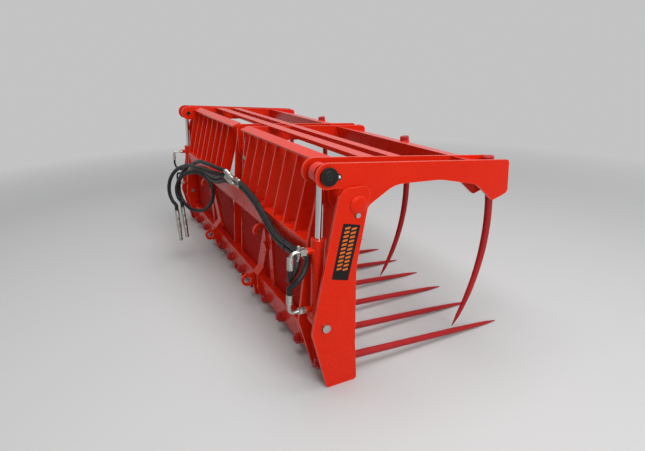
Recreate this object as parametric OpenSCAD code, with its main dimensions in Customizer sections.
// Hydraulic silage grab with two cylinders, straight bottom tines and a hinged jaw of curved tines.
// X runs across the width, +Y points the way the bottom tines point, Z is up from the floor.

/* [Overall] */
// Width over the outer faces of the side plates
overall_w = 2196; // [1900:4:2500]
// Height of the jaw's pivot axis above the floor
pivot_z = 656; // [640:2:680]
// Distance from a side plate's outer face to the end tine
tine_inset = 64; // [60:1:70]
// Number of bottom tines
tine_count = 12; // [10:2:12]

/* [Side frames] */
// Thickness of the side plates
side_t = 12; // [10:1:15]
// Free width between an outer and an inner side plate
pocket_w = 120; // [116:1:126]
// Thickness of the middle frame plates
middle_t = 10; // [8:1:14]
// Diameter of the jaw's pivot pins
pivot_d = 40; // [30:1:46]
// Diameter of the cylinders' pins
cyl_pin_d = 25; // [20:1:30]
// Largest width of the pivot pins' domed heads
pin_head_d = 61; // [56:1:66]

/* [Back wall] */
// Number of slats in each half of the back wall
slat_count = 7; // [5:1:8]
// Thickness of a slat
slat_t = 8; // [5:1:10]
// Depth of a slat, square to the wall's width
slat_depth = 58; // [50:1:62]
// Wall of the bottom beam, middle rail and jaw beams
beam_wall = 8; // [5:1:9]
// Thickness of the perforated back sheets
sheet_t = 4; // [3:0.5:6]
// Diameter of the holes in the back sheets
hole_d = 10; // [6:1:12]

/* [Bottom tines] */
// Length of a bottom tine from its nut to its point
tine_l = 831; // [780:1:840]
// Diameter at a tine's shoulder
tine_d = 29; // [26:1:32]
// Diameter of a tine's threaded shank
shank_d = 22; // [18:1:24]
// Width of a tine nut across its flats
nut_af = 36; // [32:1:40]

/* [Jaw] */
// Thickness of the arm plates
arm_t = 10; // [8:1:12]
// Radius of the curved tines' centre line
curve_r = 845; // [835:1:850]
// Diameter of a curved tine at its root
curve_d = 30; // [26:1:32]
// Free space between the two middle arm plates
middle_gap = 94; // [80:2:100]

/* [Cylinders] */
// Outside diameter of a barrel
barrel_d = 46; // [42:1:52]
// Diameter of a rod
rod_d = 25; // [20:1:28]
// Length from the lower pin to the barrel's mouth
barrel_l = 296; // [285:1:300]

/* [Hoses] */
// Outside diameter of the hoses
hose_d = 20; // [16:1:20]
// Outside diameter of the far cylinder's thin hoses
thin_hose_d = 13; // [10:1:16]

/* [Hidden] */
SIDES = ["right", "left"];
curve_x_share = [-1, -0.4475, 0, 0.4475, 1];   // places of the curved tines across the half width

// Small common sizes
seat = 0.3;          // gap between pieces that stand beside each other
running = 0.05;      // radial clearance of a pin in its bore
side_gap = 3;        // gap between an arm plate and the frame plate beside it
over = 20;           // overrun of cuts
edge_r = 14;         // usual rounding of a plate's corner
round_fn = 48;       // roundness of pins and bores
arc_step = 10;       // largest turn between two points of a rounded corner, in degrees
paint = [0.86, 0.13, 0.05];
dark_paint = [0.66, 0.10, 0.06];
crimson = [0.50, 0.08, 0.09];
chrome = [0.82, 0.83, 0.85];
zinc = [0.70, 0.70, 0.67];
black = [0.06, 0.06, 0.06];

// Places across the width
x_outer = overall_w / 2;
tine_pitch = (overall_w - 2 * tine_inset) / (tine_count - 1);
x_pocket_out = x_outer - side_t;
x_pocket_in = x_pocket_out - pocket_w;
x_inner = x_pocket_in - side_t;
x_pocket = (x_pocket_out + x_pocket_in) / 2;
arm_out = x_pocket_out - side_gap;
arm_in = x_pocket_in + side_gap;
mid_arm_in = middle_gap / 2;
mid_arm_out = mid_arm_in + arm_t;
mid_plate_in = mid_arm_out + side_gap;
mid_plate_out = mid_plate_in + middle_t;

// Helper functions
function unit(v) = v / norm(v);
function turn(v, a) = [v.x * cos(a) - v.y * sin(a), v.x * sin(a) + v.y * cos(a)];
function corner(a, b, c, r) =
  r == 0 ? [b] :
  let (u = unit(a - b), v = unit(c - b), half = acos(u * v) / 2,
       m = b + unit(u + v) * r / sin(half), p = b + u * r / tan(half),
       way = cross(u, v) > 0 ? -1 : 1, sweep = 180 - 2 * half, n = ceil(sweep / arc_step))
  [for (i = [0:n]) m + turn(p - m, way * sweep * i / n)];
// Outline from corners [y, z, rounding radius]
function rounded(pts) =
  let (k = len(pts))
  [for (i = [0:k - 1]) each
    let (a = pts[(i + k - 1) % k], b = pts[i], c = pts[(i + 1) % k])
    corner([a.x, a.y], [b.x, b.y], [c.x, c.y], b[2])];
// Smooth points through a route's own points
function tangent_at(pts, i) = unit(pts[min(i + 1, len(pts) - 1)] - pts[max(i - 1, 0)]);
function hermite(a, b, way_a, way_b, t) =
  let (l = norm(b - a), t2 = t * t, t3 = t2 * t)
  (2 * t3 - 3 * t2 + 1) * a + (t3 - 2 * t2 + t) * l * way_a + (3 * t2 - 2 * t3) * b + (t3 - t2) * l * way_b;
function smooth(pts, n) =
  concat([for (i = [0:len(pts) - 2]) for (j = [0:n - 1])
    hermite(pts[i], pts[i + 1], tangent_at(pts, i), tangent_at(pts, i + 1), j / n)], [pts[len(pts) - 1]]);
// Normals carried along a route with the least turn
function square_to(v, way) = unit(v - (v * way) * way);
function normals(ways) =
  [for (i = 0, v = square_to(ways[0].z * ways[0].z < 0.5 ? [0, 0, 1] : [1, 0, 0], ways[0]); i < len(ways);
    v = square_to(v, ways[min(i + 1, len(ways) - 1)]), i = i + 1) v];

// Helper modules
module right_and_left(side) {
  if (side == "right") children();
  else mirror([1, 0, 0]) children();
}
// A profile drawn in (y, z) and extruded across the width, from x to x + t
module across(x, t) {
  translate([x, 0, 0]) rotate([90, 0, 90]) linear_extrude(t) children();
}
module rod_x(x, l, y, z, d) {
  translate([x, y, z]) rotate([0, 90, 0]) cylinder(d = d, h = l, $fn = round_fn);
}
module hex_nut(af, h) {
  cylinder(d = af / cos(30), h = h, $fn = 6);
}
// Tube of round section swept along points; radii gives one radius per point
module sweep_tube(pts, radii, sides) {
  k = len(pts);
  ways = [for (i = [0:k - 1]) tangent_at(pts, i)];
  u = normals(ways);
  rings = [for (i = [0:k - 1]) for (j = [0:sides - 1])
    pts[i] + radii[i] * (cos(360 * j / sides) * u[i] + sin(360 * j / sides) * cross(u[i], ways[i]))];
  skin = [for (i = [0:k - 2]) for (j = [0:sides - 1])
    let (j2 = (j + 1) % sides) [i * sides + j, i * sides + j2, (i + 1) * sides + j2, (i + 1) * sides + j]];
  ends = [[for (j = [sides - 1:-1:0]) j], [for (j = [0:sides - 1]) (k - 1) * sides + j]];
  polyhedron(rings, concat(skin, ends));
}
hose_sides = 8;
hose_steps = 3;
module hose(pts, d) {
  run = smooth(pts, hose_steps);
  color(black) sweep_tube(run, [for (p = run) d / 2], hose_sides);
}

// Side frame: a broad heel, a long sloping back edge and a rounded head round the pivot
floor_front = -12;
back_vertex = [-179, 228];
heel_y = -131;
head_h = 60;
head_back = 64;
head_front = 52;
pin_low = [-129, 242];
pin_high = [-97, 759];
waist = [-8, 440];
plate_bend = [-100, 564];

outer_outline = rounded([
  [-head_back, pivot_z + head_h, 46], [head_front, pivot_z + head_h, 28],
  [waist.x, waist.y, 200], [floor_front - 4, 150, 0], [floor_front, 0, edge_r],
  [heel_y, 0, edge_r], [back_vertex.x, back_vertex.y, 30], [plate_bend.x, plate_bend.y, 0]]);

module side_head_bore() {
  translate([0, pivot_z]) circle(d = pivot_d, $fn = round_fn);
}
module low_pin_bore() {
  translate(pin_low) circle(d = cyl_pin_d, $fn = round_fn);
}
module outer_side_plate() {
  color(paint) across(x_pocket_out, side_t) difference() {
    polygon(outer_outline);
    side_head_bore();
    low_pin_bore();
  }
}

// Inner side plate: reaches up to the wall's top bar; the jaw's bars pass over its head
inner_top = 130;
inner_brow = [44, 100];
inner_vertex = [-172, 212, 20];
inner_bend = [-125, 506, 0];
inner_outline = rounded([
  [-54, pivot_z + 122, 10], [-22, pivot_z + inner_top, 10], [inner_brow.x, pivot_z + inner_brow.y, 40],
  [waist.x + 18, waist.y, 200], [floor_front - 4, 150, 0], [floor_front, 0, edge_r],
  [-122, 0, 6], inner_vertex, inner_bend]);
module inner_side_plate() {
  color(dark_paint) across(x_inner, side_t) difference() {
    polygon(inner_outline);
    side_head_bore();
    low_pin_bore();
  }
}

// Bottom beam: a closed box with a slanted back face and a bush for each tine
beam_low_y = -112;
beam_high_y = -130;
beam_front_y = -40;
beam_z0 = 30;
beam_z1 = 150;
bush_d = 44;
bush_back = 10;
bush_front = 3;
tine_back = [-114, 63];
tine_tip_z = 3;
tine_dip = asin((tine_back.y - tine_tip_z) / tine_l);
nut_h = 18;
tip_r = 2;
module tine_axis(x) {
  translate([x, tine_back.x, tine_back.y]) rotate([-90 - tine_dip, 0, 0]) children();
}
function tine_x(i) = (i - (tine_count - 1) / 2) * tine_pitch;
beam_outline = [[beam_low_y, beam_z0], [beam_high_y, beam_z1], [beam_front_y, beam_z1],
  [beam_front_y, beam_z0]];
beam_w2 = x_inner;
bush_l = beam_front_y - tine_back.x + bush_front;
module beam_box(x, l) {
  difference() {
    across(x, l) polygon(beam_outline);
    across(x - over, l + 2 * over) polygon([
      [beam_low_y + beam_wall, beam_z0 + beam_wall], [beam_high_y + beam_wall, beam_z1 - beam_wall],
      [beam_front_y - beam_wall, beam_z1 - beam_wall], [beam_front_y - beam_wall, beam_z0 + beam_wall]]);
  }
}
module beam_with_bushes(x, l, bushes) {
  color(paint) difference() {
    union() {
      beam_box(x, l);
      for (b = bushes) tine_axis(b) translate([0, 0, -bush_back])
        cylinder(d = bush_d, h = bush_l + bush_back, $fn = round_fn);
    }
    for (b = bushes) tine_axis(b) translate([0, 0, -over])
      cylinder(d = shank_d + 2 * seat, h = bush_l + 2 * over, $fn = round_fn);
  }
}
inner_tines = [for (i = [1:tine_count - 2]) tine_x(i)];
end_tine = tine_x(tine_count - 1);
module bottom_beam() {
  beam_with_bushes(-beam_w2, 2 * beam_w2, inner_tines);
}
module end_beams() {
  for (s = [-1, 1]) beam_with_bushes(s * x_pocket - pocket_w / 2, pocket_w, [s * end_tine]);
}
module bottom_tines() {
  for (i = [0:tine_count - 1]) color(crimson) tine_axis(tine_x(i))
    rotate_extrude($fn = 24) polygon([
      [0, -bush_back - nut_h - 8], [shank_d / 2 - 2, -bush_back - nut_h - 8],
      [shank_d / 2, -bush_back - nut_h - 5], [shank_d / 2, bush_l],
      [tine_d / 2, bush_l], [tine_d / 2, bush_l + 40], [tine_d * 0.36, tine_l * 0.72],
      [tip_r, tine_l - tip_r], [0, tine_l]]);
}
module bottom_tine_nuts() {
  for (i = [0:tine_count - 1]) color(crimson) tine_axis(tine_x(i))
    translate([0, 0, -bush_back - nut_h]) difference() {
      hex_nut(nut_af, nut_h);
      translate([0, 0, -over]) cylinder(d = shank_d, h = nut_h + 2 * over, $fn = round_fn);
    }
}

// Middle rail, slats and top bars of the back wall
rail_back = -127;
rail_front = -60;
rail_z0 = 431;
rail_z1 = 506;
module middle_rail() {
  color(paint) difference() {
    across(-x_inner, 2 * x_inner) polygon([[rail_back, rail_z0], [rail_back, rail_z1],
      [rail_front, rail_z1], [rail_front, rail_z0]]);
    across(-x_inner - over, 2 * x_inner + 2 * over) polygon([
      [rail_back + beam_wall, rail_z0 + beam_wall], [rail_back + beam_wall, rail_z1 - beam_wall],
      [rail_front - beam_wall, rail_z1 - beam_wall], [rail_front - beam_wall, rail_z0 + beam_wall]]);
  }
}
bar_t = 9;
bar_back = [-60, 769];
bar_front = [-16, 781];
slat_top_y = -47;
function bar_under(y) = bar_back.y + (bar_front.y - bar_back.y) * (y - bar_back.x) / (bar_front.x - bar_back.x);
half_w = x_inner - mid_plate_out;
slat_step = half_w / (slat_count + 1);
module slats() {
  for (i = [1:slat_count]) color(dark_paint)
    across(mid_plate_out + i * slat_step - slat_t / 2, slat_t) polygon([
      [rail_back + 2, rail_z1], [slat_top_y, bar_under(slat_top_y)],
      [slat_top_y + slat_depth / 2, bar_under(slat_top_y + slat_depth / 2)],
      [slat_top_y + slat_depth, bar_under(slat_top_y + slat_depth / 2) - slat_depth / 2],
      [rail_back + slat_depth, rail_z1]]);
}
module top_bar() {
  lift = [sin(atan2(bar_back.y - bar_front.y, bar_front.x - bar_back.x)),
    cos(atan2(bar_back.y - bar_front.y, bar_front.x - bar_back.x))];
  color(paint) across(mid_plate_out, half_w) polygon([
    bar_back, bar_front, bar_front + bar_t * lift, bar_back + bar_t * lift]);
}

// Back sheets with zones of round holes in staggered rows
sheet_y = -96;
hole_step = 1.8 * hole_d;
zone_low = [mid_plate_out + 18, 249];
zone_mid = [300, 221];
zone_end = [x_inner - 204, 184];
zones = [[zone_low, [1, 7]], [zone_mid, [6, 9]], [zone_end, [6, 10]]];
module hole_zone(at, count) {
  for (i = [0:count.x]) for (k = [0:count.y])
    translate(at + hole_step * [i + (k % 2) / 2, k]) circle(d = hole_d, $fn = 16);
}
module back_sheet() {
  color(dark_paint) translate([0, sheet_y, 0]) rotate([90, 0, 0]) translate([0, 0, -sheet_t])
    linear_extrude(sheet_t) difference() {
      translate([mid_plate_out, beam_z1]) square([half_w, rail_z0 - beam_z1]);
      for (zone = zones) hole_zone(zone[0], zone[1]);
    }
}

// Middle frame plates either side of the middle arm
middle_back = [[-121, 0], [-109, 128], [-91, 369], [-59, 647]];
middle_outline = rounded([
  [-30, pivot_z + 130, 22], [34, pivot_z + 122, 20], [40, pivot_z, 60],
  [waist.x, waist.y, 200], [floor_front - 4, 150, 0], [floor_front, 0, edge_r],
  [middle_back[0].x, middle_back[0].y, 6],
  for (i = [1:len(middle_back) - 1]) [middle_back[i].x, middle_back[i].y, 0]]);
module middle_plate() {
  color(dark_paint) difference() {
    across(mid_plate_in, middle_t) difference() {
      polygon(middle_outline);
      side_head_bore();
    }
    across(mid_plate_in - over, middle_t + 2 * over) {
      polygon(beam_outline);
      polygon([[rail_back, rail_z0], [rail_back, rail_z1], [rail_front, rail_z1], [rail_front, rail_z0]]);
    }
  }
}

// Hitch brackets: an eye plate and a cheek on the bottom beam, a slanted strip on the sheet and a hook plate
eye = [-172, 120];
eye_d = 36;
eye_ring = 30;
eye_x = 343;
eye_t = 14;
cheek_x = 395;
cheek_t = 10;
hook = [-132, 397];
hook_x = 467;
hook_t = 16;
hook_out = 33;
hook_in = 18;
hook_foot_z = 300;
hook_foot_l = 16;
mouth_drop = 8;
strip_low = [315, 172];
strip_high = [435, 385];
strip_w = 70;
strip_t = 10;
rib_x = 490;
rib_w = 40;
rib_t = 8;
foot_low = [-140, 37];
foot_high = [-146, 90];
shoulder = [-139, 157];
shoulder_top = [-106, 192];
cheek_low = [-128, 46];
cheek_high = [-142, 96];
back_line = [[sheet_y, shoulder_top.y], [sheet_y, beam_z1], [beam_high_y, beam_z1]];
function beam_back(z) = beam_low_y + (beam_high_y - beam_low_y) * (z - beam_z0) / (beam_z1 - beam_z0);
module hitch_bracket() {
  color(paint) {
    across(eye_x, eye_t) difference() {
      union() {
        translate(eye) circle(r = eye_ring, $fn = round_fn);
        polygon(concat([shoulder_top], back_line, [[beam_back(foot_low.y), foot_low.y], foot_low, foot_high,
          eye - [eye_ring / 3, eye_ring * 0.9], eye + [eye_ring / 3, eye_ring * 0.9], shoulder]));
      }
      translate(eye) circle(d = eye_d, $fn = round_fn);
    }
    across(cheek_x, cheek_t) polygon(concat([shoulder_top], back_line,
      [[beam_back(cheek_low.y), cheek_low.y], cheek_low, cheek_high, shoulder]));
    across(eye_x + eye_t, cheek_x - eye_x - eye_t) polygon([shoulder_top, back_line[0], back_line[1],
      back_line[2], shoulder]);
    translate([0, sheet_y, 0]) rotate([90, 0, 0]) linear_extrude(strip_t) polygon([strip_low, strip_high,
      strip_high + [strip_w, 0], strip_low + [strip_w, 0]]);
    translate([rib_x, sheet_y - rib_t, beam_z1]) cube([rib_w, rib_t, rail_z0 - beam_z1]);
    difference() {
      across(hook_x, hook_t) difference() {
        union() {
          translate(hook) circle(r = hook_out, $fn = round_fn);
          polygon([[hook.x, hook.y - hook_in], [hook.x, hook.y + hook_out], [sheet_y, hook.y + hook_out],
            [sheet_y, hook_foot_z], [sheet_y - hook_foot_l, hook_foot_z]]);
        }
        translate(hook) circle(r = hook_in, $fn = round_fn);
        translate([hook.x - hook_out - over, hook.y - hook_out - over])
          square([hook_out + over + hook_in, hook_out + over - mouth_drop]);
        translate([sheet_y, hook.y - 2 * hook_out]) square([2 * hook_out, 4 * hook_out]);
      }
      across(hook_x - over, hook_t + 2 * over) polygon([[rail_back, rail_z0], [rail_back, rail_z1],
        [rail_front, rail_z1], [rail_front, rail_z0]]);
    }
  }
}

// Pivot pins: a domed head with a notch for its locking bolt outside, a keeper bar in the middle
head_h_pin = 9;
lock_d = 17;
lock_h = 8;
lock = [-4, 623];
head_rim_share = 0.4;
head_steps = 4;
keeper_w = 16;
keeper_t = 6;
keeper_top = [-8, 693];
keeper_low = [-57, 639];
module pivot_pin() {
  color(paint) difference() {
    union() {
      rod_x(x_inner - side_gap, x_outer - x_inner + side_gap, 0, pivot_z, pivot_d);
      translate([x_outer, 0, pivot_z]) rotate([0, 90, 0]) rotate_extrude($fn = round_fn)
        polygon(concat([[0, 0], [pin_head_d / 2, 0]], [for (i = [0:head_steps])
          let (a = 90 * i / head_steps) [pin_head_d / 2 * cos(a),
            head_h_pin * (head_rim_share + (1 - head_rim_share) * sin(a))]]));
    }
    rod_x(x_outer + seat, head_h_pin + over, lock.x, lock.y, lock_d + 4 * seat);
  }
}
module keeper() {
  way = unit(keeper_low - keeper_top);
  side = keeper_w / 2 * [-way.y, way.x];
  across(mid_plate_out + seat, keeper_t) union() {
    polygon([keeper_top + side, keeper_low + side, keeper_low - side, keeper_top - side]);
    translate(keeper_low) circle(d = keeper_w, $fn = round_fn);
    translate(keeper_top) circle(d = keeper_w, $fn = round_fn);
  }
}
module pivot_pin_middle() {
  color(paint) {
    rod_x(-mid_plate_out - side_gap, 2 * (mid_plate_out + side_gap), 0, pivot_z, pivot_d);
    keeper();
  }
}
low_head_d = 29;
low_head_h = 10;
module lower_pins() {
  for (s = SIDES) right_and_left(s) color(zinc) {
    rod_x(x_inner - side_gap, x_outer - x_inner + side_gap, pin_low.x, pin_low.y, cyl_pin_d);
    rod_x(x_outer, low_head_h, pin_low.x, pin_low.y, low_head_d);
    rod_x(x_outer + seat, lock_h, lock.x, lock.y, lock_d);
  }
  color(zinc) rod_x(mid_plate_out + seat + keeper_t + seat, lock_h, keeper_low.x, keeper_low.y, lock_d);
}

// Jaw: arched arm plates
lug_r = 42;
boss_r = 48;
arm_front = [656, 724];
arm_drop = [662, 598];
arm_tip = [588, 576];
arm_under = [[505, 650], [340, 690], [150, 700]];
top_slope = (arm_front.y - pin_high.y - lug_r) / (arm_front.x - pin_high.x);
function arm_top(y) = arm_front.y + top_slope * (y - arm_front.x);
arm_body = rounded([
  [pin_high.x - lug_r, arm_top(pin_high.x - lug_r), lug_r], [arm_front.x, arm_front.y, edge_r],
  [arm_drop.x, arm_drop.y, 20], [arm_tip.x, arm_tip.y, edge_r], [arm_under[0].x, arm_under[0].y, 60],
  [arm_under[1].x, arm_under[1].y, 200], [arm_under[2].x, arm_under[2].y, 120],
  [boss_r, pivot_z - 14, 30], [34, pivot_z - boss_r, 30],
  [-boss_r, pivot_z - boss_r, boss_r], [-boss_r, pin_high.y - lug_r, 14],
  [pin_high.x - lug_r, pin_high.y - lug_r, lug_r - 1]]);
module end_arm_outline() {
  difference() {
    polygon(arm_body);
    translate([0, pivot_z]) circle(r = pivot_d / 2 + running, $fn = round_fn);
    translate(pin_high) circle(d = cyl_pin_d, $fn = round_fn);
  }
}
module outer_arm() {
  color(paint) across(arm_out - arm_t, arm_t) end_arm_outline();
}
module inner_arm() {
  color(paint) across(arm_in, arm_t) end_arm_outline();
}

// Front beam: a closed box whose top slopes down to the front
beam_top_back = [465, 743];
beam_top_front = [648, 698];
beam_bottom_front = [656, 614];
beam_bottom_mid = [600, 604];
beam_bottom_back = [478, 672];
front_outline = [beam_top_back, beam_top_front, beam_bottom_front, beam_bottom_mid, beam_bottom_back];

mid_end = [-34, 787];
mid_nose = 640;
mid_nose_top = 733;
mid_nose_low = 685;
mid_notch = [[520, 690], [472, 664]];
mid_body = rounded([
  [mid_end.x - 8, mid_end.y, 24], [mid_nose, mid_nose_top, 20], [mid_nose, mid_nose_low, 0],
  [mid_notch[0].x, mid_notch[0].y, 0], [mid_notch[1].x, mid_notch[1].y, 0],
  [arm_under[1].x, arm_under[1].y, 200], [arm_under[2].x, arm_under[2].y, 120],
  [boss_r, pivot_z - 14, 30], [34, pivot_z - boss_r, 30],
  [-boss_r, pivot_z - boss_r, boss_r]]);
module middle_arm() {
  color(paint) difference() {
    across(mid_arm_in, arm_t) difference() {
      polygon(mid_body);
      translate([0, pivot_z]) circle(r = pivot_d / 2 + running, $fn = round_fn);
    }
    across(mid_arm_in - over, arm_t + 2 * over) {
      polygon(front_outline);
      polygon(rear_bar_outline);
      polygon(cross_bar_outline);
    }
  }
}
bush_wall = 12;
module pivot_bushes() {
  color(paint) {
    for (s = [-1, 1]) difference() {
      rod_x(s * x_pocket - (arm_out - arm_in) / 2 + arm_t, arm_out - arm_in - 2 * arm_t, 0, pivot_z,
        pivot_d + 2 * bush_wall);
      rod_x(s * x_pocket - pocket_w, 2 * pocket_w, 0, pivot_z, pivot_d + 2 * running);
    }
    difference() {
      rod_x(-mid_arm_in, middle_gap, 0, pivot_z, pivot_d + 2 * bush_wall);
      rod_x(-middle_gap, 2 * middle_gap, 0, pivot_z, pivot_d + 2 * running);
    }
  }
}

// Jaw cross bars
rear_bar = [88, 150];
rear_bar_t = 8;
bar_drop = 3;
rear_bar_outline = [[rear_bar[0], arm_top(rear_bar[0]) - bar_drop], [rear_bar[1], arm_top(rear_bar[1]) - bar_drop],
  [rear_bar[1], arm_top(rear_bar[1]) - bar_drop - rear_bar_t],
  [rear_bar[0], arm_top(rear_bar[0]) - bar_drop - rear_bar_t]];
cross_bar = [205, 255];
cross_bar_h = 58;
cross_bar_outline = [[cross_bar[0], arm_top(cross_bar[0]) - 1], [cross_bar[1], arm_top(cross_bar[1]) - 1],
  [cross_bar[1], arm_top(cross_bar[1]) - cross_bar_h], [cross_bar[0], arm_top(cross_bar[0]) - cross_bar_h]];
module rear_cross_bar() {
  color(paint) across(-arm_in, 2 * arm_in) polygon(rear_bar_outline);
}
module middle_cross_bar() {
  color(paint) difference() {
    across(-arm_in, 2 * arm_in) polygon(cross_bar_outline);
    across(-arm_in - over, 2 * arm_in + 2 * over) polygon([
      [cross_bar[0] + beam_wall, arm_top(cross_bar[0]) - beam_wall],
      [cross_bar[1] - beam_wall, arm_top(cross_bar[1]) - beam_wall],
      [cross_bar[1] - beam_wall, arm_top(cross_bar[1]) - cross_bar_h + beam_wall],
      [cross_bar[0] + beam_wall, arm_top(cross_bar[0]) - cross_bar_h + beam_wall]]);
  }
}

// Curved tines: a straight threaded shank through the beam, then an arc to a point
curve_root = [638.6, 598.7];
root_angle = 6.5;
tip_angle = -34.4;
end_curve_x = x_pocket - 16;
curved_x = [for (s = curve_x_share) s * end_curve_x];
curve_c = curve_root - curve_r * [cos(root_angle), sin(root_angle)];
function curve_point(a, x) = [x, curve_c.x + curve_r * cos(a), curve_c.y + curve_r * sin(a)];
upper_shank = 112;
shank_stud = nut_h + 2;
module curved_root(x) {
  translate(curve_point(root_angle, x)) rotate([root_angle, 0, 0]) children();
}
curve_steps = 22;
first_angle = root_angle + 0.4;   // the arc starts inside the tine's shoulder
curve_sides = 10;
taper_share = 0.985;
module upper_tine(i) {
  x = curved_x[i];
  angles = [for (j = [0:curve_steps]) first_angle + (tip_angle - first_angle) * j / curve_steps];
  color(crimson) {
    sweep_tube([for (a = angles) curve_point(a, x)],
      [for (j = [0:curve_steps]) (curve_d / 2 - seat) * sqrt(1 - taper_share * j / curve_steps)], curve_sides);
    curved_root(x) {
      cylinder(d = curve_d, h = 12, $fn = round_fn);
      cylinder(d = shank_d, h = upper_shank + shank_stud, $fn = round_fn);
    }
  }
}
module curved_bores(places) {
  for (x = places) curved_root(x) translate([0, 0, -over])
    cylinder(d = curve_d + 2 * seat, h = over + 12 + seat, $fn = round_fn);
  for (x = places) curved_root(x)
    cylinder(d = shank_d + 2 * seat, h = upper_shank + 2 * over, $fn = round_fn);
}
inner_curved = [for (i = [1:3]) curved_x[i]];
module front_beam() {
  color(paint) difference() {
    union() {
      difference() {
        across(-arm_in, 2 * arm_in) polygon(front_outline);
        across(-arm_in - over, 2 * arm_in + 2 * over) polygon([
          [beam_top_back.x + 2 * beam_wall, beam_top_back.y - 1.5 * beam_wall],
          [beam_top_front.x - beam_wall, beam_top_front.y - beam_wall],
          [beam_bottom_front.x - beam_wall, beam_bottom_front.y + beam_wall],
          [beam_bottom_mid.x, beam_bottom_mid.y + beam_wall],
          [beam_bottom_back.x + beam_wall, beam_bottom_back.y + 0.5 * beam_wall]]);
      }
      for (x = inner_curved) curved_root(x) translate([0, 0, 10])
        cylinder(d = bush_d, h = upper_shank - 10, $fn = round_fn);
    }
    curved_bores(inner_curved);
  }
}
module tine_blocks() {
  for (s = [-1, 1]) color(paint) difference() {
    union() {
      across(s * x_pocket - (arm_out - arm_in) / 2 + arm_t, arm_out - arm_in - 2 * arm_t) polygon(front_outline);
      curved_root(s * end_curve_x) translate([0, 0, upper_shank / 2])
        cylinder(d = bush_d, h = upper_shank / 2, $fn = round_fn);
    }
    curved_bores([s * end_curve_x]);
  }
}
module upper_tine_nuts() {
  for (x = curved_x) color(crimson) curved_root(x) translate([0, 0, upper_shank]) difference() {
    hex_nut(nut_af, nut_h);
    translate([0, 0, -over]) cylinder(d = shank_d, h = nut_h + 2 * over, $fn = round_fn);
  }
}

// Cylinders between the low pins and the arms' lugs
cyl_l = norm(pin_high - pin_low);
lean = atan2(pin_high.x - pin_low.x, pin_high.y - pin_low.y);
eye_w = 44;
eye_d_out = 52;
barrel_wall = 5;
gland_h = 24;
gland_d = 52;
rod_eye_d = 66;
rod_eye_bore = 49;
rod_eye_w = 40;
piston_h = 30;
piston_z = barrel_l - 46;
floor_z = 40;
pin_root = 16;
port_low = 42;
port_high = barrel_l - 38;
port_l = 20;
port_d = 24;
module on_cylinder() {
  translate([x_pocket, pin_low.x, pin_low.y]) rotate([-lean, 0, 0]) children();
}
module port_boss(z) {
  translate([0, 0, z]) rotate([90, 0, 0]) cylinder(d = port_d, h = barrel_d / 2 + port_l, $fn = round_fn);
}
module barrel() {
  color(paint) on_cylinder() difference() {
    union() {
      translate([0, 0, pin_root]) cylinder(d = barrel_d, h = barrel_l - gland_h - pin_root, $fn = round_fn);
      translate([-eye_w / 2, 0, 0]) rotate([0, 90, 0]) cylinder(d = eye_d_out, h = eye_w, $fn = round_fn);
      port_boss(port_low);
      port_boss(port_high);
    }
    translate([0, 0, floor_z]) cylinder(d = barrel_d - 2 * barrel_wall, h = barrel_l, $fn = round_fn);
    translate([-eye_w, 0, 0]) rotate([0, 90, 0])
      cylinder(r = cyl_pin_d / 2 + running, h = 2 * eye_w, $fn = round_fn);
  }
}
module gland() {
  color(paint) on_cylinder() translate([0, 0, barrel_l - gland_h]) difference() {
    cylinder(d = gland_d, h = gland_h, $fn = round_fn);
    translate([0, 0, -over]) cylinder(r = rod_d / 2 + running, h = gland_h + 2 * over, $fn = round_fn);
  }
}
module rod() {
  color(chrome) on_cylinder() difference() {
    union() {
      translate([0, 0, piston_z]) cylinder(d = rod_d, h = cyl_l - piston_z - rod_eye_d / 2 + 4, $fn = round_fn);
      translate([-rod_eye_w / 2, 0, cyl_l]) rotate([0, 90, 0])
        cylinder(d = rod_eye_d, h = rod_eye_w, $fn = round_fn);
    }
    translate([-rod_eye_w, 0, cyl_l]) rotate([0, 90, 0])
      cylinder(d = rod_eye_bore, h = 2 * rod_eye_w, $fn = round_fn);
  }
}
module piston() {
  color(zinc) on_cylinder() translate([0, 0, piston_z - piston_h])
    cylinder(r = barrel_d / 2 - barrel_wall - running, h = piston_h, $fn = round_fn);
}
cap_d = 59;
cap_h = 12;
tab = [-62, 754];
module upper_pin() {
  color(black) {
    rod_x(arm_in - 4, arm_out - arm_in + 4, pin_high.x, pin_high.y, cyl_pin_d);
    rod_x(arm_out, cap_h, pin_high.x, pin_high.y, cap_d);
    rod_x(arm_out, 5, tab.x, tab.y, 20);
  }
}

// Fittings on a cylinder's ports, placed by their distance behind and along the cylinder's axis
stub_d = 18;
elbow_d = 16;
ferrule_d = 24;
ferrule_l = 44;
port_out = barrel_d / 2 + port_l;
block = [48, 82];
block_w = 24;
knob_y = 73;
knob_h = 10;
nub_l = 19;
ferrule_y = 101;
high_ferrule_z = port_high - 59;
low_ferrule_y = 103;
low_ferrule_z = port_low + 33;
hex_y = [52, 70];
thin_pipe_d = 8;
thin_ferrule_d = 18;
thin_high_y = 98;
thin_high_z = port_high - 57;
thin_low_y = 86;
thin_low_z = port_low + 7;
thin_low_l = 24;
function cyl_point(y, z) = [pin_low.x - y * cos(lean) + z * sin(lean), pin_low.y + y * sin(lean) + z * cos(lean)];
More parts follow.
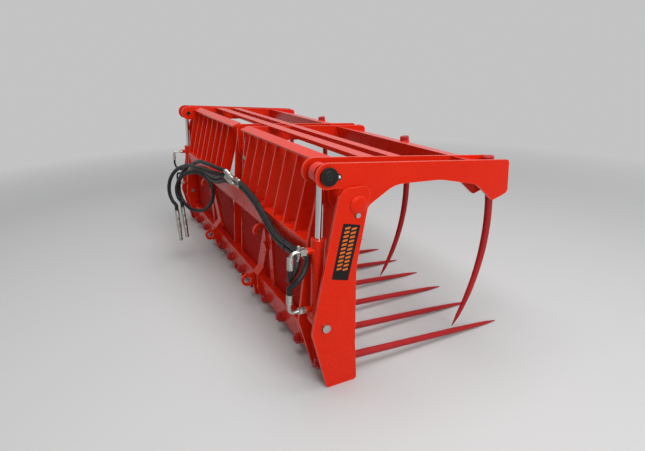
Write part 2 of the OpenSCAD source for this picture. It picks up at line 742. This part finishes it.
// A round bar that runs backward from the axis, from y0 to y1 at height z
module backward(y0, y1, z, d) {
  translate([0, -y0, z]) rotate([90, 0, 0]) cylinder(d = d, h = y1 - y0, $fn = round_fn);
}
module upright(y, z0, z1, d) {
  translate([0, -y, z0]) cylinder(d = d, h = z1 - z0, $fn = round_fn);
}
module fittings() {
  color(zinc) on_cylinder() {
    backward(port_out, block[0] + elbow_d / 2, port_high, stub_d);
    translate([-block_w / 2, -block[1], port_high - block_w / 2]) cube([block_w, block[1] - block[0], block_w]);
    upright(knob_y, port_high, port_high + block_w / 2 + knob_h, elbow_d);
    upright(knob_y, port_high - block_w / 2 - nub_l, port_high, elbow_d - 1);
    backward(block[1] - elbow_d / 2, ferrule_y + elbow_d / 2, port_high, elbow_d);
    upright(ferrule_y, high_ferrule_z + ferrule_l - elbow_d, port_high, elbow_d - 2);
    upright(ferrule_y, high_ferrule_z, high_ferrule_z + ferrule_l, ferrule_d);
    backward(port_out, low_ferrule_y + elbow_d / 2, port_low, elbow_d);
    translate([0, -hex_y[0], port_low]) rotate([90, 0, 0]) hex_nut(block_w, hex_y[1] - hex_y[0]);
    upright(low_ferrule_y, port_low, low_ferrule_z + elbow_d, elbow_d - 2);
    upright(low_ferrule_y, low_ferrule_z, low_ferrule_z + ferrule_l - elbow_d / 2, ferrule_d);
  }
}
module fittings_far() {
  color(zinc) on_cylinder() {
    backward(port_out, thin_high_y + thin_pipe_d / 2, port_high, thin_pipe_d);
    translate([0, -port_out, port_high]) rotate([90, 0, 0]) hex_nut(stub_d, elbow_d);
    upright(thin_high_y, port_high - ferrule_l / 2, port_high, thin_pipe_d - 1);
    upright(thin_high_y, thin_high_z, thin_high_z + ferrule_l, thin_ferrule_d);
    backward(port_out, thin_low_y + elbow_d / 2, port_low, elbow_d);
    upright(thin_low_y, port_low, thin_low_z + elbow_d, elbow_d - 2);
    upright(thin_low_y, thin_low_z, thin_low_z + thin_low_l, thin_ferrule_d);
  }
}

// Hoses: routes are points chosen along the real runs; the second hose of a pair lies below the first
line_y = -142;
split_y = -149;
hose_step = hose_d + 3;
split_back = 126;
split_x = x_pocket - split_back;
drawn_split_x = 900;   // place of the split for which the routes' points were chosen
end_l = 10;          // straight length between the last points of a hose
tee_x = 200;
tee_l = 60;
tee_z = 566;
branch_x = 230;
coil_y = -170;
coil_in_x = 238;
coil_out_x = 135;
coil_high = [587, 596];
coil_low = [560, 571];
adapter_l = 40;
adapter_d = 21;
far_split_z = 408;
function spread(route) = [for (p = route) [p.x * split_x / drawn_split_x, p.y, p.z]];
function past_split(route) = [for (p = route) [p.x - drawn_split_x + split_x, p.y, p.z]];
function below(route) = [for (p = route) [p.x, p.y, p.z - hose_step]];
function straight(p, way, from = 0) = [for (i = [0:2]) p + (from + i) * end_l * way];
split_z = 466;
split = [split_x, split_y, split_z];
far_split = [-split_x, split_y, far_split_z];
right_way = [1, 0, 0];
line_route = concat(straight([tee_x + tee_l + seat, line_y, tee_z], right_way),
  spread([[380, -142, 556], [500, -142, 530], [610, -144, 488], [700, -146, 463], [790, -148, 460]]),
  straight(split, right_way, -2));
left_route = concat(straight([tee_x - seat, line_y, tee_z], -right_way),
  spread([[80, -142, 553], [-48, -142, 531], [-132, -142, 506], [-218, -142, 489], [-306, -142, 480],
  [-394, -142, 479], [-504, -142, 476], [-620, -142, 463], [-740, -144, 440], [-806, -147, 420]]),
  straight(far_split + (adapter_l + seat) * right_way, -right_way, -2));
module line_hoses() {
  for (r = [line_route, left_route]) {
    hose(r, hose_d);
    hose(below(r), hose_d);
  }
}
module tee(z, coil_z) {
  coil_way = [coil_out_x - coil_in_x, 0, coil_z[1] - coil_z[0]];
  branch_way = [0, coil_y - line_y, coil_z[0] - z];
  color(zinc) {
    rod_x(tee_x, tee_l, line_y, z, hose_d + 2);
    translate([branch_x, line_y, z]) rotate([atan2(-branch_way.y, branch_way.z), 0, 0])
      cylinder(d = stub_d, h = norm(branch_way), $fn = round_fn);
    translate([coil_in_x, coil_y, coil_z[0]]) rotate([0, atan2(coil_way.x, coil_way.z), 0])
      cylinder(d = ferrule_d, h = norm(coil_way), $fn = round_fn);
  }
}
module line_tees() {
  tee(tee_z, coil_high);
  tee(tee_z - hose_step, coil_low);
  color(zinc) for (z = [far_split.z, far_split.z - hose_step])
    rod_x(far_split.x + seat, adapter_l - seat, split_y, z, adapter_d);
}
// Points where a hose stands in line with its ferrule, from the free side to the ferrule
function standing(y, z, way) = [for (i = [2:-1:0])
  let (p = cyl_point(y, z + way * (seat + i * end_l))) [x_pocket, p.x, p.y]];
after_split = split + seat * right_way;
high_route = concat(straight([after_split.x, split_y, split.z - hose_step], right_way),
  past_split([[955, -160, 440], [978, -174, 430], [988, -194, 408], [1001, -211, 400], [1015, -218, 407]]),
  standing(ferrule_y, high_ferrule_z, -1));
low_route = concat(straight(after_split, right_way),
  past_split([[962, -147, 470], [1000, -145, 470], [1020, -155, 455], [1038, -180, 427], [1040, -205, 404]]),
  standing(low_ferrule_y, low_ferrule_z + ferrule_l - elbow_d / 2, 1));
module cylinder_hoses() {
  hose(high_route, hose_d);
  hose(low_route, hose_d);
}
far_start = [split_x + seat, split_y, far_split_z];
far_high_route = concat(straight(far_start, right_way),
  past_split([[945, -156, 402], [975, -172, 390], [1003, -193, 388], [1020, -209, 404]]),
  standing(thin_high_y, thin_high_z, -1));
far_low_route = concat(straight(far_start - [0, 0, hose_step], right_way),
  past_split([[950, -158, 376], [978, -174, 364], [1000, -190, 361], [1018, -206, 356]]),
  standing(thin_low_y, thin_low_z + thin_low_l, 1));
module cylinder_hoses_far() {
  hose(far_high_route, thin_hose_d);
  hose(far_low_route, thin_hose_d);
}

// Hose loop and couplers at the far bracket
loop_c = [-285, -222, 420];
loop_yaw = 20;
loop_tilt = 16;
loop_a = 212;
loop_b = 138;
loop_across = [cos(loop_yaw), sin(loop_yaw), 0];
loop_out = [-sin(loop_yaw), cos(loop_yaw), 0];
loop_e1 = cos(loop_tilt) * loop_across + [0, 0, sin(loop_tilt)];
loop_e2 = -sin(loop_tilt) * loop_across + [0, 0, cos(loop_tilt)];
loop_step = 15;
function loop_point(a, grow, side) =
  loop_c + (loop_a - grow) * cos(a) * loop_e1 + (loop_b - grow) * sin(a) * loop_e2 + side * loop_out;
function loop_run(a0, a1, grow, side) =
  [for (a = [a0:loop_step:a1])
    let (t = (a - a0) / (a1 - a0))
    loop_point(a, grow[0] + (grow[1] - grow[0]) * t, side[0] + (side[1] - side[0]) * t)];
function coil_start(z) =
  let (way = unit([coil_out_x - coil_in_x, 0, z[1] - z[0]]))
  straight([coil_out_x, coil_y, z[1]] + seat * way, way);
lead_long = [[80, -186, 600], [0, -204, 604], [-90, -216, 602], [-180, -222, 594]];
lead_short = [[80, -192, 576], [10, -228, 582], [-80, -262, 584], [-180, -282, 580]];
loop_start = 95;
long_end = 575;
short_end = 215;
long_grow = [0, 52];
long_side = [0, -52];
short_grow = [4, 34];
short_side = [-76, -82];
hang_long = unit([0.12, 0.02, -1]);
hang_short = unit([0.10, 0, -1]);
straight_l = 14;
function hung(run, hang) = concat(run, [for (i = [1:2]) run[len(run) - 1] + i * straight_l * hang]);
long_run = hung(concat(coil_start(coil_high), lead_long, loop_run(loop_start, long_end, long_grow, long_side)),
  hang_long);
short_run = hung(concat(coil_start(coil_low), lead_short, loop_run(loop_start, short_end, short_grow, short_side)),
  hang_short);
coil_sides = 6;
// Least gap between points of the long hose that lie more than half a wind apart along it
wind_points = 24;
function least_gap(run) = min([for (i = [0:len(run) - 1]) for (j = [i + wind_points:1:len(run) - 1])
  norm(run[i] - run[j]) - hose_d]);
echo(least_gap_of_coil = least_gap(smooth(long_run, hose_steps)));
module long_coil_hose() {
  color(black) sweep_tube(long_run, [for (p = long_run) hose_d / 2], coil_sides);
}
module short_coil_hose() {
  color(black) sweep_tube(short_run, [for (p = short_run) hose_d / 2], coil_sides);
}
coupler_d = 25;
coupler_l = 180;
module couplers() {
  for (end = [[long_run, hang_long], [short_run, hang_short]]) color(zinc)
    translate(end[0][len(end[0]) - 1]) rotate([0, acos(end[1].z), atan2(end[1].y, end[1].x)])
      translate([0, 0, seat]) cylinder(d = coupler_d, h = coupler_l, $fn = round_fn);
}

module sided(side) {
  right_and_left(side) outer_side_plate();
  right_and_left(side) inner_side_plate();
  right_and_left(side) middle_plate();
  right_and_left(side) top_bar();
  right_and_left(side) slats();
  right_and_left(side) back_sheet();
  right_and_left(side) hitch_bracket();
  right_and_left(side) pivot_pin();
  right_and_left(side) outer_arm();
  right_and_left(side) inner_arm();
  right_and_left(side) middle_arm();
  right_and_left(side) upper_pin();
  right_and_left(side) barrel();
  right_and_left(side) gland();
  right_and_left(side) rod();
  right_and_left(side) piston();
  right_and_left(side) {
    if (side == "right") fittings();
    else fittings_far();
  }
  right_and_left(side) {
    if (side == "right") cylinder_hoses();
    else cylinder_hoses_far();
  }
}
sided("right");
sided("left");
bottom_beam();
end_beams();
middle_rail();
pivot_pin_middle();
lower_pins();
bottom_tines();
bottom_tine_nuts();
pivot_bushes();
rear_cross_bar();
middle_cross_bar();
front_beam();
tine_blocks();
upper_tine_nuts();
line_hoses();
line_tees();
long_coil_hose();
short_coil_hose();
couplers();
for (i = [1:len(curved_x)]) upper_tine(i - 1);
